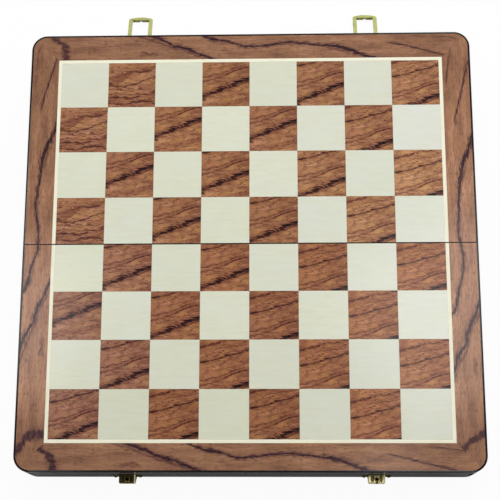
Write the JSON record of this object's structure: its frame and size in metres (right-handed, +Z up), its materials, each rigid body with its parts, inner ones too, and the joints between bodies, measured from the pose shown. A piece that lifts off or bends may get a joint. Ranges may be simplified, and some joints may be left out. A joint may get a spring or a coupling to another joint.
{
  "type": "games compendium box",
  "caption": "Folding wooden games box with a veneered chess and draughts board outside, a backgammon table inside, and brass hinges and loop latches.",
  "frame": {"origin": "middle of the box's footprint with its latches, on the surface that it lies on when open flat", "axes": "+X to the right along the fold, +Y away from the player towards the latch loops, +Z up out of the board face"},
  "size_m": [0.383, 0.4254, 0.0458],
  "materials": {
    "black_lacquered_wood": "gloss",
    "dark_veneer": "satin",
    "light_veneer": "satin",
    "floor_veneer": "satin",
    "brass": "polished",
    "plated_steel": "polished"
  },
  "bodies": {
    "near_half": {"near_long_wall": "black_lacquered_wood", "near_fold_wall": "black_lacquered_wood", "near_left_wall": "black_lacquered_wood", "near_right_wall": "black_lacquered_wood", "near_panel": "black_lacquered_wood", "near_border_veneer": "dark_veneer", "near_stringing": "light_veneer", "near_light_squares": "light_veneer", "near_dark_squares": "dark_veneer", "near_tray_floor": "floor_veneer", "near_light_points": "light_veneer", "near_dark_points": "dark_veneer", "near_hinge_screws": "plated_steel", "left_hinge_near_leaf": "brass", "right_hinge_near_leaf": "brass", "left_hinge_pin": "plated_steel", "right_hinge_pin": "plated_steel", "left_catch": "brass", "right_catch": "brass", "catch_nails": "brass"},
    "far_half": {"far_long_wall": "black_lacquered_wood", "far_fold_wall": "black_lacquered_wood", "far_left_wall": "black_lacquered_wood", "far_right_wall": "black_lacquered_wood", "far_panel": "black_lacquered_wood", "far_border_veneer": "dark_veneer", "far_stringing": "light_veneer", "far_light_squares": "light_veneer", "far_dark_squares": "dark_veneer", "far_tray_floor": "floor_veneer", "far_light_points": "light_veneer", "far_dark_points": "dark_veneer", "far_hinge_screws": "plated_steel", "left_hinge_far_leaf": "brass", "right_hinge_far_leaf": "brass", "left_latch_plate": "brass", "right_latch_plate": "brass", "left_latch_pin": "plated_steel", "right_latch_pin": "plated_steel", "latch_plate_nails": "brass"},
    "left_loop": {"left_latch_loop": "brass"},
    "right_loop": {"right_latch_loop": "brass"}
  },
  "joints": [
    {"name": "fold_hinge", "type": "hinge", "parent": "near_half", "child": "far_half", "pos_m": [0, -0.01516, 0.00165], "axis": [-1, 0, 0], "range_deg": [0, 180]},
    {"name": "left_loop_swing", "type": "hinge", "parent": "far_half", "child": "left_loop", "pos_m": [-0.101, 0.17753, 0.0148], "axis": [-1, 0, 0], "range_deg": [-100, 66.6]},
    {"name": "right_loop_swing", "type": "hinge", "parent": "far_half", "child": "right_loop", "pos_m": [0.104, 0.17753, 0.0148], "axis": [-1, 0, 0], "range_deg": [-100, 66.6]}
  ]
}
